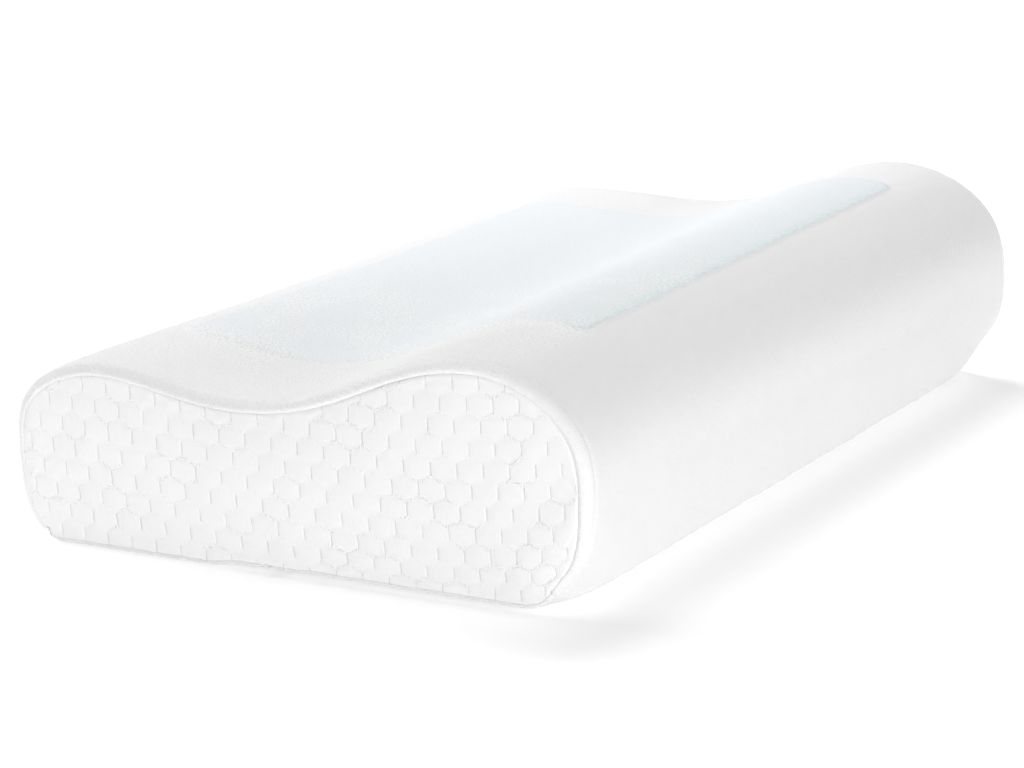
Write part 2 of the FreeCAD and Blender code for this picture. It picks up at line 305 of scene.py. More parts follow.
def grid_rim(rows, columns):
    """The border's vertices in order."""
    top = np.arange(columns)
    right = np.arange(1, rows) * columns + columns - 1
    bottom = (rows - 1) * columns + np.arange(columns - 2, -1, -1)
    left = np.arange(rows - 2, 0, -1) * columns
    return np.concatenate([top, right, bottom, left])


def faces_inward(grid, outward):
    """Whether the faces of this grid have to be flipped to look outward."""
    i, j = grid.shape[0] // 2, grid.shape[1] // 2
    across = np.cross(grid[i + 1, j] - grid[i, j], grid[i, j + 1] - grid[i, j])
    return float(across @ outward[i, j]) > 0


def shell(name, outer, inner, u, v):
    """A closed sheet from the grids of its outer and inner face, with its places on the cloth."""
    rows, columns = outer.shape[:2]
    flip = faces_inward(outer, outer - inner)
    count = rows * columns
    rim = grid_rim(rows, columns)
    sides = np.column_stack([rim, rim + count, np.roll(rim, -1) + count, np.roll(rim, -1)])
    faces = [
        grid_faces(rows, columns, 0, flip),
        grid_faces(rows, columns, count, not flip),
        sides[:, ::-1] if flip else sides,
    ]
    points = np.concatenate([outer.reshape(-1, 3), inner.reshape(-1, 3)])
    flat = np.stack(np.broadcast_arrays(u, v), axis=2).reshape(-1, 2)
    return new_mesh(name, points, np.concatenate(faces).tolist(), np.concatenate([flat, flat]))


def tube(path, radius, sides):
    """Points and faces of a round thread along path."""
    along = unit(np.gradient(path, axis=0))
    aside = unit(np.cross(along, [0.31, 0.17, 0.94]))
    third = np.cross(along, aside)
    turn = np.arange(sides) * 2 * math.pi / sides
    ring = aside[:, None] * np.cos(turn)[None, :, None] + third[:, None] * np.sin(turn)[None, :, None]
    size = np.broadcast_to(radius, len(path))[:, None, None]
    points = (path[:, None] + size * ring).reshape(-1, 3)
    i, k = np.meshgrid(np.arange(len(path) - 1), np.arange(sides), indexing="ij")
    a = (i * sides + k).ravel()
    b = (i * sides + (k + 1) % sides).ravel()
    faces = np.column_stack([a, b, b + sides, a + sides]).tolist()
    faces.append(list(range(sides))[::-1])
    faces.append([(len(path) - 1) * sides + k for k in range(sides)])
    return points, faces


def joined(name, parts):
    """One mesh object from several (points, faces)."""
    points, faces, count = [], [], 0
    for part_points, part_faces in parts:
        points.append(part_points)
        faces += [[i + count for i in face] for face in part_faces]
        count += len(part_points)
    return new_mesh(name, np.concatenate(points), faces)


# ---- materials
WHITE = 0.80  # how bright the cover is
FOAM_COLOURS = (0.80, 0.78, 0.71, 1), (0.84, 0.82, 0.76, 1)
GEL_COLOURS = (0.33, 0.66, 0.80, 1), (0.42, 0.74, 0.86, 1)
KNIT_PITCH = 1.9 * MM
# what the three knits share
KNIT = {"Sheen_Roughness": 0.6, "Specular_IOR_Level": 0.25}


class Value:
    """A node's output that can be added, subtracted and multiplied."""

    def __init__(self, paint, socket):
        self.paint, self.socket = paint, socket

    def __add__(self, other):
        return self.paint.math("ADD", self, other)

    def __sub__(self, other):
        return self.paint.math("SUBTRACT", self, other)

    def __mul__(self, other):
        return self.paint.math("MULTIPLY", self, other)

    def __abs__(self):
        return self.paint.math("ABSOLUTE", self)


class Paint:
    """A node material, built by short calls. Each call gives a Value, and takes numbers or Values."""

    def __init__(self, name, roughness, **fixed):
        self.material = bpy.data.materials.new(name)
        self.material.use_nodes = True
        self.tree = self.material.node_tree
        self.surface = self.tree.nodes["Principled BSDF"]
        fixed = {socket.replace("_", " "): value for socket, value in fixed.items()}
        self.set(self.surface, {"Roughness": roughness, **fixed})

    def set(self, node, inputs):
        for socket, value in inputs.items():
            if isinstance(value, Value):
                self.tree.links.new(value.socket, node.inputs[socket])
            else:
                node.inputs[socket].default_value = value

    def node(self, kind, output, inputs, **settings):
        """This output of a new node, with its settings made and then its inputs set."""
        node = self.tree.nodes.new("ShaderNode" + kind)
        for setting, value in settings.items():
            setattr(node, setting, value)
        self.set(node, inputs)
        return Value(self, node.outputs[output])

    def math(self, operation, a, b=0.0, clamp=False):
        return self.node("Math", 0, {0: a, 1: b}, operation=operation, use_clamp=clamp)

    def step(self, value, low, high):
        """0 below low and 1 above high, or the other way round if high is below low."""
        inputs = {
            "Value": value,
            "From Min": min(low, high),
            "From Max": max(low, high),
            "To Min": 1.0 if low > high else 0.0,
            "To Max": 0.0 if low > high else 1.0,
        }
        return self.node("MapRange", "Result", inputs, interpolation_type="SMOOTHSTEP")

    def place(self):
        return self.node("TexCoord", "Object", {})

    def weave(self):
        """The place on the cloth, in metres: along the pillow and round it."""
        return self.node("UVMap", 0, {}, uv_map="weave")

    def split(self, vector):
        return [self.node("SeparateXYZ", i, {0: vector}) for i in range(2)]

    def noise(self, vector, size, detail=3.0, roughness=0.55):
        """Noise with features of this size in millimetres."""
        scale = 1 / (size * MM)
        inputs = {"Vector": vector, "Scale": scale, "Detail": detail, "Roughness": roughness}
        return self.node("TexNoise", "Fac", inputs)

    def mix(self, share, first, second):
        inputs = {"Factor": share, "A": first, "B": second}
        return self.node("Mix", "Result", inputs, data_type="RGBA")

    def bump(self, height, distance, after=None):
        """A normal for relief of this height in millimetres."""
        inputs = {"Height": height, "Distance": distance * MM, "Strength": 1.0}
        if after is not None:
            inputs["Normal"] = after
        return self.node("Bump", "Normal", inputs)

    def finish(self, colour, normal=None):
        self.set(self.surface, {"Base Color": colour})
        if normal is not None:
            self.set(self.surface, {"Normal": normal})
        return self.material


def grey(level):
    return (level, level, level, 1.0)


def tinted(red, green, blue):
    """The cover's white, tinted."""
    return (WHITE * red, WHITE * green, WHITE * blue, 1.0)


def mesh_knit(paint):
    """Staggered loops and the small holes between them: 1 on a loop, 0 in a hole."""
    u, v = paint.split(paint.weave())
    turns = math.pi / KNIT_PITCH
    across = (u + v) * turns
    back = (u - v) * turns
    product = paint.math("SINE", across) * paint.math("SINE", back)
    return paint.math("SQRT", abs(product))


def wrap_knit():
    """White micro-mesh knit, with the gel pad's blue showing through it."""
    paint = Paint("wrap_knit", 0.85, Sheen_Weight=0.25, **KNIT)
    loops = mesh_knit(paint)
    place = paint.weave()
    u, v = paint.split(place)
    fuzz = paint.noise(place, 0.7, 4.0, 0.7)
    cloud = paint.noise(place, 60, 2.0)
    # distance outside the gel pad's rounded outline
    du, dv = (
        paint.math("MAXIMUM", abs(value - middle) - (half - GEL_CORNER))
        for value, middle, half in zip((u, v), GEL_MIDDLE, GEL_HALF)
    )
    reach = paint.math("SQRT", du * du + dv * dv)
    ragged = paint.noise(place, 5, 3.0, 0.6)
    for rough, size in ((fuzz, 1.2 * MM), (ragged, 3.0 * MM)):
        reach = reach + (rough - 0.5) * size
    gel = paint.step(reach, GEL_CORNER + 1.0 * MM, GEL_CORNER - 1.0 * MM)
    # the mesh opens most where it is pulled over the pad's front edge
    front = paint.step(v, GEL_FRONT_ARC + 34 * MM, GEL_FRONT_ARC + 2 * MM)
    holes = paint.step(loops, 0.62, 0.15)
    opened = holes * (front * 0.5 + 0.2)
    show = gel * (opened + 0.5)
    # flecks of the pad's colour along that edge, and painted shade: a darker line just inside the pad's
    # edge, broken up and strongest round its near corner, for the edge's shadow seen through the mesh
    frontal = gel * paint.step(v, GEL_FRONT_ARC + 10 * MM, GEL_FRONT_ARC + 5 * MM)
    fleck = paint.step(paint.noise(place, 2.6, 2.0, 0.6), 0.44, 0.60)
    flecks = fleck * paint.step(reach, GEL_CORNER - 7.0 * MM, GEL_CORNER - 2.0 * MM)
    corner = paint.step(abs(u - (GEL_LOW.x + 6 * MM)), 22 * MM, 6 * MM)
    edge_shade_band = paint.step(reach, GEL_CORNER - 2.2 * MM, GEL_CORNER - 0.8 * MM)
    edge_shade_breaks = paint.step(ragged, 0.5, 0.58) * 0.6 + corner * 0.4
    line = paint.math("MULTIPLY", edge_shade_band, edge_shade_breaks, True)
    white = paint.mix(cloud, grey(WHITE * 0.985), grey(WHITE))
    colour = paint.mix(show, white, tinted(0.905, 0.965, 1.03))
    colour = paint.mix(gel * front * 0.6, colour, tinted(0.86, 0.94, 0.95))
    colour = paint.mix(frontal * flecks, colour, tinted(0.77, 0.91, 0.92))
    # painted shade: the pad edge's shadow through the mesh, as a dark teal line
    colour = paint.mix(frontal * line, colour, tinted(0.6, 0.75, 0.74))
    # the knit's grain on the top, stronger in some places than in others
    grain = paint.step(paint.noise(place, 1.35, 2.0, 0.6), 0.54, 0.36)
    patchy = paint.step(paint.noise(place, 40, 2.0), 0.35, 0.62)
    on_top = paint.step(v, GEL_FRONT_ARC - 8 * MM, GEL_FRONT_ARC + 4 * MM)
    near = paint.step(u, 40 * MM, -90 * MM) * 0.36
    near = near * paint.step(u, -246 * MM, -205 * MM)
    share = on_top * (patchy * near + 0.14)
    dark = grain * share
    light = share - dark
    colour = paint.mix(light, colour, grey(WHITE * 1.12))
    colour = paint.mix(dark, colour, tinted(0.76, 0.79, 0.80))
    normal = paint.bump(loops, 0.16)
    normal = paint.bump(fuzz, 0.10, normal)
    return paint.finish(colour, normal)


def plain_knit(name, level):
    """The same knit with nothing behind it, as on the underside."""
    paint = Paint(name, 0.88, Sheen_Weight=0.2, **KNIT)
    place = paint.weave()
    loops = mesh_knit(paint)
    fuzz = paint.noise(place, 0.7, 4.0, 0.7)
    colour = paint.mix(loops, grey(level * 0.93), grey(level))
    normal = paint.bump(loops, 0.2)
    normal = paint.bump(fuzz, 0.10, normal)
    return paint.finish(colour, normal)


def honeycomb_knit():
    """White double knit with puffed cells.

    The cells have open slits at their upright sides and picots along the slanted ones. The slits are painted
    darker, partly for the open knit and partly as painted shade; the pits carry painted shade and the picots
    a painted highlight.
    """
    paint = Paint("honeycomb_knit", 0.85, Sheen_Weight=0.25, **KNIT)
    place = paint.weave()
    wander_a = (paint.noise(place, 4, 2.0) - 0.5) * (0.5 * MM)
    a, b = paint.split(place)
    far = 40.0  # whole pairs of rows and cells, so that the remainders below are taken of positive numbers
    across = paint.math("DIVIDE", a - SLIT_AT[0] + wander_a, CELL_PITCH)
    across = across + far
    up = paint.math("DIVIDE", b - SLIT_AT[1], CELL_ROWS) + far

    def from_whole(value):
        """Distance to the nearest whole number."""
        return abs(value - paint.math("ROUND", value))

    def shifted(row):
        """The place across, in cells, counted from a slit of this row."""
        return across + paint.math("MODULO", row, 2.0) * 0.5

    row = paint.math("ROUND", up)
    beside = from_whole(shifted(row)) * CELL_PITCH
    height = from_whole(up) * CELL_ROWS
    slit = paint.step(beside, 0.52 * MM, 0.1 * MM) * paint.step(height, SLIT / 2, SLIT / 2 - 0.8 * MM)
    lower = paint.math("FLOOR", up)
    rise = from_whole(shifted(lower)) * (2 * (CELL_ROWS - SLIT))
    above = paint.math("FRACT", up) * CELL_ROWS
    slanted = abs(above - (rise + SLIT / 2))
    slanted = paint.step(slanted, 1.3 * MM, 0.5 * MM)
    fuzz = paint.noise(place, 0.6, 4.0, 0.7)
    dots = paint.noise(place, 1.1, 1.0, 0.5)
    picots = slanted * paint.step(dots, 0.5, 0.62)
    pits = slanted * paint.step(dots, 0.46, 0.36)
    uneven = paint.step(paint.noise(place, 9, 2.0), 0.30, 0.62)
    # the slits are painted darker partly for the open knit, which shows what lies behind it, and partly as
    # painted shade in their depth
    slit_opening_and_shade = slit * (uneven * 0.24 + 0.15)
    patchy = paint.step(paint.noise(place, 28, 2.0), 0.42, 0.60)
    picots = picots * patchy
    pits = pits * patchy
    rib = paint.math("SINE", a * (2 * math.pi / (1.05 * MM)))
    colour = paint.mix(slit_opening_and_shade, grey(WHITE), grey(WHITE * 0.45))
    # painted shade on the pits, and a painted highlight on the picots, lighter than the knit's own white
    colour = paint.mix(pits * 0.35, colour, grey(WHITE * 0.8))
    colour = paint.mix(picots * 0.55, colour, grey(WHITE * 1.12))
    normal = paint.bump(picots - pits, 0.14)
    normal = paint.bump(fuzz, 0.12, normal)
    normal = paint.bump(rib, 0.03, normal)
    return paint.finish(colour, normal)


def mottled(name, roughness, colours, size, relief, detail=3.0, relief_size=None, **fixed):
    """A plain material, a little uneven in colour and in relief."""
    paint = Paint(name, roughness, **fixed)
    place = paint.place()
    cloud = paint.noise(place, size, detail)
    ripple = paint.noise(place, relief_size) if relief_size else cloud
    return paint.finish(paint.mix(cloud, *colours), paint.bump(ripple, relief))


def tape_paint():
    """Herringbone zip tape."""
    paint = Paint("zip_tape", 0.8, Sheen_Weight=0.2)
    u, v = paint.split(paint.weave())
    fold = abs(paint.math("FRACT", v * (1 / (3.0 * MM))) - 0.5)
    slope = u * (1 / (0.9 * MM)) + fold * 3.0
    ribs = abs(paint.math("SINE", slope * math.pi))
    colour = paint.mix(ribs, grey(0.70), grey(0.82))
    return paint.finish(colour, paint.bump(ribs, 0.12))


def metal_paint():
    """White lacquer on the slider, worn a little at random."""
    paint = Paint("zip_metal", 0.3, Coat_Weight=0.3, Coat_Roughness=0.15)
    peel = paint.noise(paint.place(), 0.8, 2.0)
    rubbed = paint.step(paint.noise(paint.place(), 2.5, 5.0, 0.7), 0.60, 0.72)
    return paint.finish(paint.mix(rubbed * 0.35, grey(0.8), grey(0.5)), paint.bump(peel, 0.03))


def foam_paint():
    paint = Paint("foam", 0.95, Subsurface_Weight=0.1, Subsurface_Scale=0.004)
    place = paint.place()
    pores = paint.node("TexVoronoi", "Distance", {"Vector": place, "Scale": 1 / (0.9 * MM)})
    open_cell = paint.step(pores, 0.10, 0.34)
    cloud = paint.noise(place, 40)
    colour = paint.mix(cloud, *FOAM_COLOURS)
    return paint.finish(colour, paint.bump(open_cell, 0.25))


def dress(piece, slot, node):
    """Gives a new piece the material of its slot, puts it on the pillow's body and hides the CAD node it
    stands for.
    """
    piece.data.materials.append(PAINTS[slot])
    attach(piece, "pillow")
    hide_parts(node)
    return piece


# ---- cloth simulation
PRESSURE = 4.0
FRAMES = 20
WRAP_GRID = (60, 62)  # the points of the coarse sheets that are simulated
END_GRID = (64, 26)


def swell(points, directions, cap):
    """How far a sheet of cloth held along its border is pushed out by its filling, by cloth simulation."""
    rows, columns = points.shape[:2]
    faces = grid_faces(rows, columns, flip=faces_inward(points, directions))
    sheet = new_mesh("held_cloth", points.reshape(-1, 3), faces.tolist())
    held = sheet.vertex_groups.new(name="held")
    held.add(grid_rim(rows, columns).tolist(), 1.0, "REPLACE")
    modifier = sheet.modifiers.new("cloth", "CLOTH")
    settings = modifier.settings
    settings.quality = 8
    settings.mass = 0.3
    settings.tension_stiffness = 1
    settings.compression_stiffness = 1
    settings.bending_stiffness = 0.2
    settings.vertex_group_mass = "held"
    settings.use_pressure = True
    settings.uniform_pressure_force = PRESSURE
    settings.effector_weights.gravity = 0
    modifier.collision_settings.use_collision = False
    modifier.point_cache.frame_end = FRAMES
    for step in range(1, FRAMES + 1):
        bpy.context.scene.frame_set(step)
    evaluated = sheet.evaluated_get(bpy.context.evaluated_depsgraph_get())
    moved = np.empty(points.size, np.float32)
    evaluated.data.vertices.foreach_get("co", moved)
    bpy.data.objects.remove(sheet)
    bpy.context.scene.frame_set(1)
    push = ((moved.reshape(points.shape) - points) * directions).sum(2).clip(0, None)
    return cap * np.tanh(push / cap)


def between(values, row_shares, column_shares):
    """A grid's values at shares of its two sides, along smooth curves through its points."""
    def curve(values, share):
        at = share * (len(values) - 1)
        i = np.clip(np.floor(at).astype(int), 0, len(values) - 2)
        t = (at - i)[:, None]
        a, b, c, d = (values[np.clip(i + k, 0, len(values) - 1)] for k in (-1, 0, 1, 2))
        return b + t / 2 * (c - a + t * (2 * a - 5 * b + 4 * c - d + t * (3 * (b - c) + d - a)))

    return curve(curve(values, row_shares).T, column_shares).T


# ---- the cover's skin
def beneath(x, point, out, depth):
    """The places at x and at these depths under points of the section."""
    places = point[:, None] - out[:, None] * depth[..., None]
    return np.concatenate([np.broadcast_to(x, depth.shape)[..., None], places], axis=2)


def skin(arcs, reach):
    """The cover's plain surface at these places round the section and along the cloth.

    Gives the points, the outward directions and the distance to the nearer end seam. The cloth
    turns over the edge onto the end in a quarter round.
    """
    radius = seam_inset(arcs)[:, None]
    distance = np.broadcast_to(CLOTH_LENGTH / 2 - np.abs(reach), (len(arcs), len(reach)))
    turn = np.clip(distance / radius, 0, math.pi / 2)
    level = np.maximum(distance - radius * math.pi / 2, 0)
    level = level * (END_X - radius) / (CLOTH_LENGTH / 2 - radius * math.pi / 2)
    along = radius * (1 - np.cos(turn)) + level
    inset = radius * (1 - np.sin(turn))
    hand = np.sign(reach)
    point, out = SECTION.at(arcs)
    points = beneath(hand * (END_X - along), point, out, inset)
    directions = np.empty_like(points)
    directions[..., 0] = hand * np.cos(turn)
    directions[..., 1:] = out[:, None] * np.sin(turn)[..., None]
    return points, directions, distance


def base_seam_gap(arc):
    """How far round the section the nearer of the two lower seams is."""
    half = SECTION.length / 2
    gaps = [np.mod(arc - seam + half, SECTION.length) - half for seam in (FRONT_SEAM, REAR_SEAM)]
    return np.abs(gaps).min(0)


def end_bulk(arc):
    """How bulky the end seams are: 1 round the high lobe, 0 underneath and round the low lobe."""
    return hump(10 * MM, 80 * MM, CREST + 60 * MM, CREST + 130 * MM, arc)


def end_tuck(arc, distance):
    """How deep an end seam draws the cover in."""
    return SEAM_TUCK * (0.4 + 0.6 * end_bulk(arc)) * bell(distance, SEAM_TUCK_WIDTH)


def seam_depth(arc, distance):
    """How deep all seams draw the cover in."""
    return BASE_TUCK * bell(base_seam_gap(arc), BASE_TUCK_WIDTH) + end_tuck(arc, distance)


def pucker(arc, reach, distance):
    """Small gathers beside the seams, where the thread is tighter than the cloth."""
    beside_end = hump(0, 2 * MM, 3 * MM, 11 * MM, distance)
    beside_base = hump(0, 2 * MM, 3 * MM, 12 * MM, base_seam_gap(arc))
    at_end = beside_end * ripple(arc, 0.2 * reach, 8 * MM, 11)
    at_base = 1.6 * beside_base * ripple(reach, 0.2 * arc, 9 * MM, 12)
    return PUCKER * (at_end + at_base)


def end_roll(arc, distance):
    """The cloth rolls over the end seam's allowance, which is bulkier round the high lobe than elsewhere."""
    share = 0.35 + 0.65 * end_bulk(arc)
    width = ROLL_WIDTH * share
    middle = (distance - width / 2) / (width / 2)
    roll = ROLL_HEIGHT * share * np.clip(1 - middle**2, 0, 1) * ramp(0, 1.5, distance)
    return roll - ROLL_GROOVE * share * bell(distance - width - 1.2 * MM, 1.3 * MM)


def pad_edge(arc, x):
    """Distance inside the gel pad's rounded outline, negative outside it."""
    du = np.abs(x - GEL_MIDDLE[0]) - GEL_HALF[0] + GEL_CORNER
    dv = np.abs(arc - GEL_MIDDLE[1]) - GEL_HALF[1] + GEL_CORNER
    outside = np.hypot(np.maximum(du, 0), np.maximum(dv, 0))
    return GEL_CORNER - outside - np.minimum(np.maximum(du, dv), 0)


def gel_lift(arc, x):
    """The cloth steps up over the gel pad, sharply along its front edge and softly along the others."""
    inside = pad_edge(arc, x)
    frontal = 1 - smooth(GEL_FRONT_ARC + 3 * MM, GEL_FRONT_ARC + 16 * MM, arc)
    sharp = ramp(-2.6, 1.0, inside)
    soft = ramp(-4.5, 1.5, inside)
    return GEL_LIFT * (0.8 * frontal * sharp + (1 - frontal) * soft)


def crease(arc, x, start, end, width, depth):
    """A line pulled in the cloth from start to end, in (x, arc), that fades out at its end."""
    along = np.subtract(end, start)
    length = np.hypot(*along)
    along = along / length
    du, dv = x - start[0], arc - start[1]
    place = (du * along[0] + dv * along[1]) / length
    aside = du * along[1] - dv * along[0]
    fade = hump(-0.05, 0.05, 0.35, 1.0, place)
    return -depth * fade * (bell(aside, width) - 0.5 * bell(np.abs(aside) - 2.2 * width, width))


def wrap_relief(arc, x):
    """What the pad does to the cloth over it."""
    far_corner = (GEL_HIGH.x - 1 * MM, GEL_FRONT_ARC + 2 * MM)
    end_of_pull = (GEL_HIGH.x + 22 * MM, GEL_FRONT_ARC - 9 * MM)
    relief = gel_lift(arc, x)
    relief += crease(arc, x, far_corner, end_of_pull, 2.4 * MM, 0.35 * MM)
    return relief + 0.12 * MM * ripple(x, arc, 55 * MM, 13)


def wrap_swell(arcs, reach):
    """The wrap's lift over the filling."""
    share = (arcs - FRONT_SEAM) / (REAR_SEAM - FRONT_SEAM)
    along = reach / CLOTH_LENGTH + 0.5
    coarse_arcs = np.linspace(FRONT_SEAM, REAR_SEAM, WRAP_GRID[0])
    coarse_reach = np.linspace(-CLOTH_LENGTH / 2, CLOTH_LENGTH / 2, WRAP_GRID[1])
    points, directions, _ = skin(coarse_arcs, coarse_reach)
    return between(swell(points, directions, SWELL), share, along)


def cloth(name, arcs, relief=None):
    """A sheet from one end seam to the other, at these places round the section."""
    half = CLOTH_LENGTH / 2
    edge = SEAM_INSET * (math.pi / 2 - 1)
    fine = [-half, ROLL_WIDTH - half, half - ROLL_WIDTH, half]
    if relief:
        fine += [GEL_LOW.x - edge, GEL_HIGH.x + edge]
    reach = spaced(-half, half, CLOTH_STEP, *fine)
    points, directions, distance = skin(arcs, reach)
    arc = arcs[:, None]
    height = end_roll(arc, distance) + pucker(arc, reach, distance)
    if relief:
        height = height + relief(arc, points[..., 0]) + wrap_swell(arcs, reach)
    stitch = sum(bell(arc - line, STITCH_WIDTH) for line in (STITCH_FRONT, STITCH_REAR))
    height = height - STITCH_SINK * stitch
    depth = seam_depth(arc, distance)
    outer = points + directions * (height - depth)[..., None]
    inner = points - directions * (COVER + INNER_SHARE * depth)[..., None]
    return shell(name, settle_grid(outer), settle_grid(inner), reach, arc)


# ---- honeycomb ends
def seam_loop(count):
    """The end seam's line round the section, in (y, z), evenly spaced."""
    arcs = np.linspace(0, SECTION.length, count, endpoint=False)
    point, out = SECTION.at(arcs)
    return point - out * seam_inset(arcs)[:, None]


def nearest_on_loop(points, count=420):
    """Each point's distance to the end seam, and the place round the section there, in (y, z)."""
    loop = seam_loop(count)
    best = np.full(len(points), np.inf)
    place = np.zeros(len(points))
    for i, (a, b) in enumerate(zip(loop, np.roll(loop, -1, 0))):
        along = b - a
        t = np.clip(((points - a) @ along) / (along @ along), 0, 1)
        distance = ((points - a - t[:, None] * along) ** 2).sum(1)
        nearer = distance < best
        best = np.where(nearer, distance, best)
        place = np.where(nearer, (i + t) / count * SECTION.length, place)
    return np.sqrt(best), place


def knit_stretch(a):
    """The knit is stretched more at the middle of an end than towards its sides."""
    return KNIT_STRETCH[0] * a - KNIT_STRETCH[1] * a**3


def knit_rise(y):
    """The rows of cells aren't level: they climb slightly to the back and more to the front."""
    return KNIT_CLIMB[0] * y + KNIT_CLIMB[1] * np.clip((-0.040 - y) / 0.1, 0, None) ** 2


def honeycomb(a, b):
    """How far the knit stands out at a place in it: up in a puffed cell, down in an upright slit."""
    across = (a - SLIT_AT[0]) / CELL_PITCH
    up = (b - SLIT_AT[1]) / CELL_ROWS

    def from_line(row):
        """Distance across, in cells: on an even row slits are at whole numbers, on an odd one halfway."""
        place = across - 0.5 * np.mod(row, 2)
        return np.abs(place - np.round(place))

    row = np.round(up)
    from_slit = from_line(row) * CELL_PITCH
    height = np.abs(up - row) * CELL_ROWS
    open_height = 1 - smooth(SLIT / 2 - 1.0 * MM, SLIT / 2 + 0.4 * MM, height)
    slit = (1 - ramp(0.12, 0.62, from_slit)) * open_height
    # the slanted side between two slits: a zigzag from a slit's end to the next one
    lower = np.floor(up)
    line = SLIT / 2 + (CELL_ROWS - SLIT) * from_line(lower) * 2
    slanted = np.abs((up - lower) * CELL_ROWS - line)
    side = np.minimum(slanted, np.where(height < SLIT / 2, from_slit, np.inf))
    puff = ramp(0, 3.6, side)
    return CELL_PUFF * puff - SLIT_DEPTH * slit


def end_panel(name, hand):
    """A honeycomb end. Its columns follow the knit's lean, closer together at the slits."""
    loop = seam_loop(2400)
    leaning = loop[:, 0] - KNIT_LEAN * (loop[:, 1] - KNIT_MIDDLE)
    first, last = int(np.argmin(leaning)), int(np.argmax(leaning))
    low, high = leaning[first], leaning[last]
    beside = MM * np.array([0.0, 0.2, 0.42, 0.7, 1.3, 2.3])
    lines = SLIT_AT[0] + CELL_PITCH / 2 * np.arange(-24, 25)
    a = np.unique(np.concatenate([lines + s * gap for gap in beside for s in (-1, 1)]))
    limit = MM * np.array([0.03, 0.15, 0.4, 0.8])
    c = knit_stretch(a)
    inside = (c > low + 1.0 * MM) & (c < high - 1.0 * MM)
    c = np.concatenate([low + limit, c[inside], (high - limit)[::-1]])
    a = np.interp(c, knit_stretch(a), a)
    chain = np.roll(np.column_stack([leaning, loop[:, 1]]), -first, 0)
    split = (last - first) % len(loop)
    upper, lower = chain[:split + 1], np.vstack([chain[split:], chain[:1]])[::-1]
    # the rows are a little closer together at the top and the bottom
    v = np.linspace(0, 1, END_ROWS)
    v = 0.75 * v + 0.25 * (1 - np.cos(math.pi * v)) / 2

    def plane(c, v):
        """Places in the end's plane, (y, z): c across the leaning columns and v from bottom to top."""
        top = np.interp(c, upper[:, 0], upper[:, 1])
        bottom = np.interp(c, lower[:, 0], lower[:, 1])
        z = bottom[:, None] + (top - bottom)[:, None] * v[None, :]
        return np.stack([c[:, None] + KNIT_LEAN * (z - KNIT_MIDDLE), z], axis=2)

    places = plane(c, v)
    flat = places.reshape(-1, 2)
    knit = np.column_stack([np.repeat(a, len(v)), flat[:, 1] - knit_rise(flat[:, 0])])
    gap, arc = nearest_on_loop(flat)
    ease = ramp(0.3, 4.5, gap)
    proud = ease * (honeycomb(*knit.T) + 0.1 * MM * ripple(*flat.T, 30 * MM, 14))
    coarse = plane(np.linspace(c[0], c[-1], END_GRID[0]), np.linspace(0, 1, END_GRID[1]))
    points = np.concatenate([np.full(coarse.shape[:2] + (1,), hand * END_X), coarse], axis=2)
    push = swell(points, np.broadcast_to([float(hand), 0.0, 0.0], points.shape), CROWN)
    crown = between(push, (c - c[0]) / (c[-1] - c[0]), v).ravel()
    proud += crown + 0.12 * MM * ripple(arc, 0, 9 * MM, 15) * bell(gap - 3 * MM, 2 * MM)
    proud -= end_tuck(arc, gap)
    proud -= BASE_TUCK * bell(base_seam_gap(arc), BASE_TUCK_WIDTH) * bell(gap, 1.5 * MM)
    columns, rows = places.shape[:2]
    outer = settle(np.column_stack([hand * (END_X - CELL_PUFF * ease + proud), flat]))
    rim = grid_rim(columns, rows)
    back = outer[rim] - [hand * COVER, 0, 0]
    count, edge = len(outer), len(rim)
    behind = count + np.arange(edge)
    sides = np.column_stack([rim, behind, np.roll(behind, -1), np.roll(rim, -1)])
    cap = list(range(count, count + edge))
    if hand > 0:
        sides, cap = sides[:, ::-1], cap[::-1]
    faces = grid_faces(columns, rows, 0, hand > 0).tolist() + sides.tolist() + [cap[::-1]]
    return new_mesh(name, np.concatenate([outer, back]), faces, np.concatenate([knit, knit[rim]]))


# ---- filling
CHANNEL_DEPTH = 4.5 * MM  # the room for the zip in the foam


def pad_recess(arc, x):
    """How far the foam lies below the cloth to hold the gel pad."""
    return (GEL_THICKNESS - GEL_LIFT) * ramp(-1.2, -0.4, pad_edge(arc, x))


def foam_block(name):
    """The foam: the cover's form less its thickness.

    It has a bed for the pad, ledges for the sewn edges and a channel over the zip.
    """
    ledge = END_X - 11 * MM
    face = END_X - COVER - SEAM_TUCK
    stations = spaced(-ledge, ledge, 8 * MM, GEL_LOW.x, GEL_HIGH.x)
    beyond = np.array([ledge + 0.6 * MM, face - 1 * MM, face])
    x = np.concatenate([-beyond[::-1], stations, beyond])
    ends = np.abs(x) > ledge
    inset = np.where(ends, SEAM_INSET + ALLOWANCE, COVER + 0.2 * MM)
    inset[[0, -1]] += 1 * MM
    arcs = spaced(0, SECTION.length, 4 * MM, FRONT_SEAM, REAR_SEAM, GEL_FRONT_ARC, GEL_REAR_ARC)[:-1]
    point, out = SECTION.at(arcs)
    arc = arcs[:, None]
    sewn = 1 - smooth(ALLOWANCE_WIDTH + 1.5 * MM, ALLOWANCE_WIDTH + 3 * MM, base_seam_gap(arc))
    depth = inset + np.where(ends, 0, pad_recess(arc, x) + (ALLOWANCE + 0.4 * MM) * sewn)
    under = (arc > SECTION.top_end).astype(float)
    tape = TAPE_HIGH.y - ZIP_Y
    channel = 1 - smooth(tape + 0.5 * MM, tape + 3 * MM, np.abs(point[:, :1] - ZIP_Y))
    depth = depth + under * channel * CHANNEL_DEPTH
    points = beneath(x, point, out, depth)
    rows, columns = depth.shape
    faces = grid_faces(rows, columns, wrap_rows=True).tolist()
    faces.append([i * columns for i in range(rows)])
    faces.append([i * columns + columns - 1 for i in range(rows - 1, -1, -1)])
    return new_mesh(name, settle(points.reshape(-1, 3)), faces)


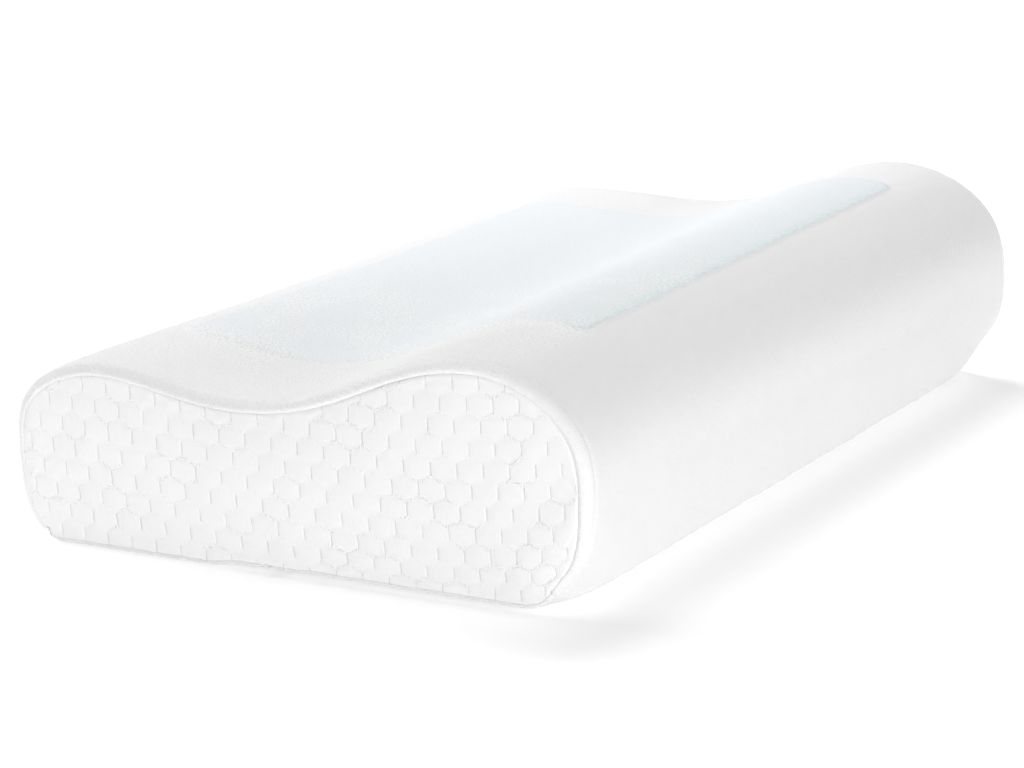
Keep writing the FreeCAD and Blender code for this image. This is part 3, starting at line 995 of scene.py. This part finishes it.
def gel_sheet(name):
    """The gel pad: a slab with rounded corners and a rounded rim that follows the top of the foam."""
    arcs = spaced(GEL_FRONT_ARC, GEL_REAR_ARC, 4 * MM, GEL_FRONT_ARC, GEL_REAR_ARC)
    across = np.minimum(arcs - GEL_FRONT_ARC, GEL_REAR_ARC - arcs)
    cut = GEL_CORNER - np.sqrt(GEL_CORNER**2 - np.clip(GEL_CORNER - across, 0, GEL_CORNER) ** 2)
    length = GEL_HIGH.x - GEL_LOW.x
    share = spaced(0, length, 4 * MM, 0, length) / length
    left, right = GEL_LOW.x + cut, GEL_HIGH.x - cut
    x = left[:, None] + (right - left)[:, None] * share[None, :]
    point, out = SECTION.at(arcs)
    arc = arcs[:, None]
    inside = np.clip(pad_edge(arc, x), 0, None)
    bevel = 1.2 * MM
    rim = bevel * (1 - np.sqrt(1 - np.clip(1 - inside / bevel, 0, 1) ** 2))
    dimple = 0.15 * MM * ripple(arc, x, 9 * MM, 16) * ramp(0, 4, inside)
    depths = (COVER - GEL_LIFT + 0.2 * MM + rim + dimple, COVER - GEL_LIFT + GEL_THICKNESS - rim)
    outer, inner = (settle_grid(beneath(x, point, out, depth)) for depth in depths)
    return shell(name, outer, inner, x, arc)


# ---- sewn edges
def strip(name, middle, width, thick):
    """A flat band of sewn cloth edges round a middle line, with its unit width and thickness."""
    across = np.linspace(-0.5, 0.5, 7)
    fray = 0.25 * MM * ripple(np.arange(len(middle)) * 2 * MM, 0, 7 * MM, 17)
    reach = across[None, :] * ALLOWANCE_WIDTH + fray[:, None] * np.abs(across)[None, :]
    base = middle[:, None] + width[:, None] * reach[..., None]
    outer = base + thick[:, None] * (ALLOWANCE / 2)
    inner = base - thick[:, None] * (ALLOWANCE / 2)
    return shell(name, settle_grid(outer), settle_grid(inner), run(middle)[:, None], reach)


def overlock(middle, width, thick, pitch=2.6 * MM, radius=0.2 * MM):
    """Points and faces of the thread that is wound round a band of sewn edges."""
    along = run(middle)
    points_each = 10
    turns = int(along[-1] / pitch)
    s = np.linspace(0, along[-1], turns * points_each)
    turn = 2 * math.pi * np.arange(len(s)) / points_each
    place, wide, deep = (sampled(s, along, line) for line in (middle, width, thick))
    square = np.maximum(np.abs(np.cos(turn)), np.abs(np.sin(turn)))
    path = place + wide * (np.cos(turn) / square * (ALLOWANCE_WIDTH / 2 + radius))[:, None]
    path = path + deep * (np.sin(turn) / square * (ALLOWANCE / 2 + radius))[:, None]
    return tube(settle(path), radius, 4)


def end_allowance(hand):
    """Middle line, width and thickness directions of the band inside an end seam."""
    arcs = np.linspace(0, SECTION.length, 420)
    point, out = SECTION.at(arcs)
    x = hand * (END_X - SEAM_TUCK - COVER - ALLOWANCE_WIDTH / 2)
    inset = np.maximum(seam_inset(arcs), COVER + ALLOWANCE)[:, None]
    middle = np.column_stack([np.full(len(point), x), point - out * inset])
    width = np.tile([-hand, 0.0, 0.0], (len(point), 1))
    return middle, width, np.column_stack([np.zeros(len(out)), out])


def base_allowance(seam, way):
    """The same for a lower seam, whose sewn edges lie against the inside of the wrap."""
    x = np.linspace(-(END_X - 12 * MM), END_X - 12 * MM, 240)
    point, out = SECTION.at(np.array([seam + way * (ALLOWANCE_WIDTH / 2 + 1.6 * MM)]))
    sunk = COVER + 0.1 * MM + ALLOWANCE / 2
    middle = np.column_stack([x, *(np.full(len(x), value) for value in (point - out * sunk)[0])])
    thick = np.tile([0.0, *out[0]], (len(x), 1))
    width = np.tile([0.0, -out[0, 1] * way, out[0, 0] * way], (len(x), 1))
    return middle, width, thick


# ---- zip
def zip_tape(name, hand, seed):
    """A woven tape against the inside of the underside. It turns up to the end seams like the panels do."""
    half = CLOTH_LENGTH / 2
    reach = spaced(-half, half, CLOTH_STEP, -half, half)
    near, far = TAPE_LOW.y - ZIP_Y, TAPE_HIGH.y - ZIP_Y
    from_zip = np.linspace(near, far, 12)
    arcs = ZIP_ARC - hand * from_zip
    points, directions, distance = skin(arcs, reach)
    # past the stops the two tapes are sewn edge to edge
    closed = smooth(COIL_END + 3 * MM, COIL_END + 8 * MM, np.abs(points[..., 0]))
    points[..., 1] -= hand * (near - 0.03 * MM) * closed * ((far - from_zip) / (far - near))[:, None]
    arc = arcs[:, None]
    free = ramp(5, 15, from_zip)[:, None]
    sway = 0.12 * MM * np.abs(ripple(reach, 0, 60 * MM, seed)) * free
    depth = COVER + 0.02 * MM + INNER_SHARE * seam_depth(arc, distance) + sway
    outer = points - directions * depth[..., None]
    inner = outer - directions * (TAPE_HIGH.z - TAPE_LOW.z)
    return shell(name, outer, inner, reach, arc)


def zip_coil(name, node, hand):
    """The coil of one chain half: a nylon helix, flattened, with its heads towards the middle."""
    low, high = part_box(node)
    wire, pitch, points_each = 0.27 * MM, 1.3 * MM, 10
    turns = int((high.x - low.x - 2 * wire) / pitch)
    turn = np.linspace(0, turns * 2 * math.pi, turns * points_each + 1)
    x = low.x + wire + turn / (2 * math.pi) * pitch + (0.25 * pitch if hand > 0 else 0)
    middle = (low.y + high.y) / 2, (low.z + high.z) / 2
    y = middle[0] + hand * ((high.y - low.y) / 2 - wire) * np.cos(turn)
    z = middle[1] + ((high.z - low.z) / 2 - wire) * np.sin(turn)
    cord = np.linspace([low.x, *middle], [high.x, *middle], 120)
    return joined(name, [tube(np.column_stack([x, y, z]), wire, 4), tube(cord, 0.4 * MM, 6)])


def stitches(name, node):
    """Lockstitches along the fold beside the zip."""
    low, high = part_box(node)
    pitch, length, sink = 3.0 * MM, 2.5 * MM, 0.12 * MM
    share = np.linspace(0, 1, 7)
    bow = np.sin(math.pi * share)
    parts = []
    for i in range(int((high.x - low.x) / pitch)):
        x = low.x + (i + 0.5) * pitch + (share - 0.5) * length
        y = np.full(7, (low.y + high.y) / 2)
        z = high.z - sink - 0.10 * MM * bow + 0.25 * MM * (1 - bow)
        radius = 0.2 * MM * np.sqrt(np.clip(1 - (2 * share - 1) ** 6, 0.05, 1))
        parts.append(tube(np.column_stack([x, y, z]), radius, 6))
    return joined(name, parts)


# ---- pieces
PAINTS = {
    "wrap_knit": wrap_knit(),
    "honeycomb_knit": honeycomb_knit(),
    "base_knit": plain_knit("base_knit", WHITE * 0.98),
    "overlock_thread": mottled(
        "thread", 0.6, (grey(0.74), grey(0.84)), 0.25, 0.06, 2.0, Sheen_Weight=0.3
    ),
    "zip_tape": tape_paint(),
    "zip_coil": mottled("zip_coil", 0.35, (grey(0.76), grey(0.82)), 4, 0.02),
    "zip_metal": metal_paint(),
    "foam": foam_paint(),
    "gel": mottled(
        "gel", 0.35, GEL_COLOURS, 25, 0.2,
        relief_size=6, Subsurface_Weight=0.5, Subsurface_Scale=0.006, Coat_Weight=0.3,
    ),
}


def cover_pieces():
    wrap_arcs = spaced(FRONT_SEAM, REAR_SEAM, 3.4 * MM, FRONT_SEAM, GEL_FRONT_ARC, GEL_REAR_ARC, REAR_SEAM)
    wrap = cloth("cover_wrap", wrap_arcs, wrap_relief)
    dress(wrap, "wrap_knit", "cover_top_wrap")
    for place, start, end, line in (
        ("rear", REAR_SEAM, FOLD_REAR, STITCH_REAR),
        ("front", FOLD_FRONT, SECTION.length + FRONT_SEAM, STITCH_FRONT),
    ):
        base = cloth(f"underside_{place}", spaced(start, end, CLOTH_STEP, start, line, end))
        dress(base, "base_knit", f"base_panel_{place}")
    loop = seam_loop(900)
    ahead = np.roll(loop, -1, 0)
    panel_area = abs(float((loop[:, 0] * ahead[:, 1] - ahead[:, 0] * loop[:, 1]).sum())) / 2
    size = loop.max(0) - loop.min(0)
    for hand, side in ((-1, "left"), (1, "right")):
        end = end_panel(f"honeycomb_end_{side}", hand)
        dress(end, "honeycomb_knit", f"end_panel_{side}")


def filling_pieces():
    foam = dress(foam_block("foam_block"), "foam", "foam_core")
    gel = dress(gel_sheet("gel_sheet"), "gel", "gel_pad")


def sewn_pieces():
    bands = {
        "end_seam_allowance_left": end_allowance(-1),
        "end_seam_allowance_right": end_allowance(1),
        "base_seam_allowance_front": base_allowance(FRONT_SEAM, 1),
        "base_seam_allowance_rear": base_allowance(REAR_SEAM, -1),
    }
    for node, lines in bands.items():
        dress(strip(f"{node}_band", *lines), "base_knit", node)
        thread = joined(f"{node}_thread", [overlock(*lines)])
        dress(thread, "overlock_thread", node)


def zip_pieces():
    for place, hand in (("front", 1), ("rear", -1)):
        tape = zip_tape(f"tape_{place}", -hand, 18 + hand)
        dress(tape, "zip_tape", f"zipper_tape_{place}")
        coil_node = f"zipper_coil_{place}"
        dress(zip_coil(f"coil_{place}", coil_node, hand), "zip_coil", coil_node)
        stitch_node = f"zip_stitching_{place}"
        dress(stitches(f"stitches_{place}", stitch_node), "overlock_thread", stitch_node)
    for node in ("zipper_slider", "zipper_pull", "zipper_top_stops", "zipper_bottom_stop"):
        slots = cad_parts[node].data.materials
        slots.clear()
        slots.append(PAINTS["zip_metal"])


cover_pieces()
filling_pieces()
sewn_pieces()
zip_pieces()


# ---- floor, light and camera
FLOOR_GLOW = 0.31  # the floor is a pale light table
ROOM_LIGHT = 0.18


def floor():
    size = 14.0
    low = -0.3 * MM
    points = [(-size, -size, low), (size, -size, low), (size, size, low), (-size, size, low)]
    plane = new_mesh("floor", np.array(points), [(0, 1, 2, 3)])
    glow = {"Emission_Color": (1, 1, 1, 1), "Emission_Strength": FLOOR_GLOW}
    paint = Paint("floor", 0.9, Specular_IOR_Level=0.0, **glow)
    plane.data.materials.append(paint.finish(grey(0.97)))


def lamp(name, place, target, size, power):
    light = bpy.data.lights.new(name, "AREA")
    light.shape = "RECTANGLE"
    light.size, light.size_y = size
    light.energy = power
    holder = placed(name, light)
    holder.location = place
    holder.rotation_mode = "QUATERNION"
    holder.rotation_quaternion = (Vector(target) - Vector(place)).to_track_quat("-Z", "Y")


def camera(heading, tilt, roll, aim, distance, lens):
    """The camera: its three angles in degrees, what it points at, how far off, and its lens in mm."""
    heading, tilt, roll = math.radians(heading), math.radians(tilt), math.radians(roll)
    forward = Vector((
        math.cos(tilt) * math.cos(heading),
        math.cos(tilt) * math.sin(heading),
        -math.sin(tilt),
    ))
    right = Vector((math.sin(heading), -math.cos(heading), 0))
    up = right.cross(forward)
    turned_right = math.cos(roll) * right + math.sin(roll) * up
    turned_up = -math.sin(roll) * right + math.cos(roll) * up
    data = bpy.data.cameras.new("camera")
    data.lens = lens
    data.clip_end = 100
    holder = placed("camera", data)
    axes = Matrix((turned_right, turned_up, -forward)).transposed().to_4x4()
    holder.matrix_world = Matrix.Translation(Vector(aim) - forward * distance) @ axes
    bpy.context.scene.camera = holder


def surroundings():
    world = bpy.data.worlds.new("studio")
    bpy.context.scene.world = world
    world.use_nodes = True
    background = world.node_tree.nodes["Background"].inputs
    background["Color"].default_value = (1, 1, 1, 1)
    background["Strength"].default_value = ROOM_LIGHT
    bpy.context.scene.view_settings.view_transform = "Standard"


floor()
lamp("back", (0.6, 2.4, 1.7), (0, 0, 0), (2.6, 2.0), 68)
lamp("left", (-2.3, 0.7, 0.30), (0, 0, 0.05), (1.6, 0.5), 10.5)
lamp("front", (-1.3, -2.0, 0.45), (0, 0, 0.05), (1.6, 0.8), 33)
lamp("low", (0.4, -2.2, 0.20), (0, 0, 0.03), (3.2, 0.35), 2.4)
lamp("above", (0.4, 0.35, 1.1), (0.1, 0, 0.08), (0.6, 0.6), 8.4)
camera(28.51, 14.65, -0.53, aim=(-0.0129, 0.0126, 0.0361), distance=2.0036, lens=137.3)
surroundings()
